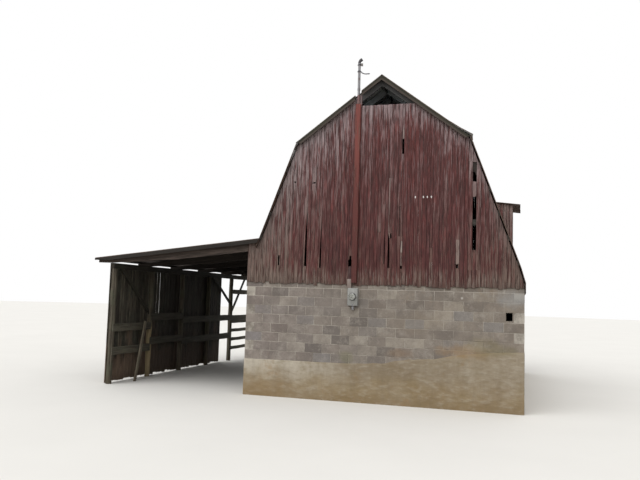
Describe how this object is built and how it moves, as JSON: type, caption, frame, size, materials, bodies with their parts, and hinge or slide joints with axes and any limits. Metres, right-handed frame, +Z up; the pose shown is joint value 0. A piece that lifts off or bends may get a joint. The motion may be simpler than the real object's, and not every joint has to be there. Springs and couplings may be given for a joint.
{
  "type": "gambrel barn on block walls with a lean-to",
  "caption": "Red-boarded gambrel hay barn on block walls, with sheet roofing, an open peak, a dormer, a service mast and a post-framed lean-to along one side.",
  "frame": {"origin": "middle of the front block wall's foot, halfway through its thickness", "axes": "+X to the right seen from the front, +Y towards the back along the ridge, +Z up"},
  "size_m": [10.129, 9.2384, 7.6125],
  "materials": {
    "block_wall": "weathered concrete block, raw at the top and lime-washed at the foot",
    "frame_timber": "rough-sawn, dry and dark",
    "roof_sheet": "ribbed sheet, dull and rust-stained",
    "edge_board": "weathered dark board",
    "red_board": "peeling red barn paint over grey wood",
    "mast_paint": "red-painted board",
    "galvanised": "dull zinc",
    "meter_case": "grey enamel, chalky",
    "meter_glass": "clear",
    "lean_to_timber": "weathered rough timber",
    "grey_board": "silvered bare boards"
  },
  "bodies": {
    "root": {"front_block_wall": "block_wall", "rear_block_wall": "block_wall", "right_block_wall": "block_wall", "left_block_wall_front": "block_wall", "left_block_wall_rear": "block_wall", "left_doorway_lintel": "block_wall", "wall_plates": "frame_timber", "loft_joists": "frame_timber", "loft_floor": "frame_timber", "lower_rafters": "frame_timber", "upper_rafters": "frame_timber", "knee_gussets": "frame_timber", "collar_ties": "frame_timber", "ridge_board": "frame_timber", "roof_laths": "frame_timber", "front_gable_frame": "frame_timber", "rear_gable_frame": "frame_timber", "left_lower_roof": "roof_sheet", "left_upper_roof": "roof_sheet", "right_upper_roof": "roof_sheet", "right_lower_roof": "roof_sheet", "dormer_roof": "roof_sheet", "lean_to_roof": "roof_sheet", "rake_boards": "edge_board", "lean_to_fascia": "edge_board", "front_gable_boards": "red_board", "rear_gable_boards": "red_board", "dormer_cheeks": "red_board", "dormer_face": "red_board", "mast_board": "mast_paint", "mast_pipe": "galvanised", "mast_head": "galvanised", "mast_arm": "galvanised", "meter_conduits": "galvanised", "meter_box": "meter_case", "meter_glass": "meter_glass", "lean_to_laths": "lean_to_timber", "lean_to_rafters": "lean_to_timber", "lean_to_beam": "lean_to_timber", "lean_to_posts": "lean_to_timber", "lean_to_braces": "lean_to_timber", "lean_to_rails": "lean_to_timber", "lean_to_side_boards": "grey_board", "leaning_board": "grey_board"}
  },
  "joints": []
}
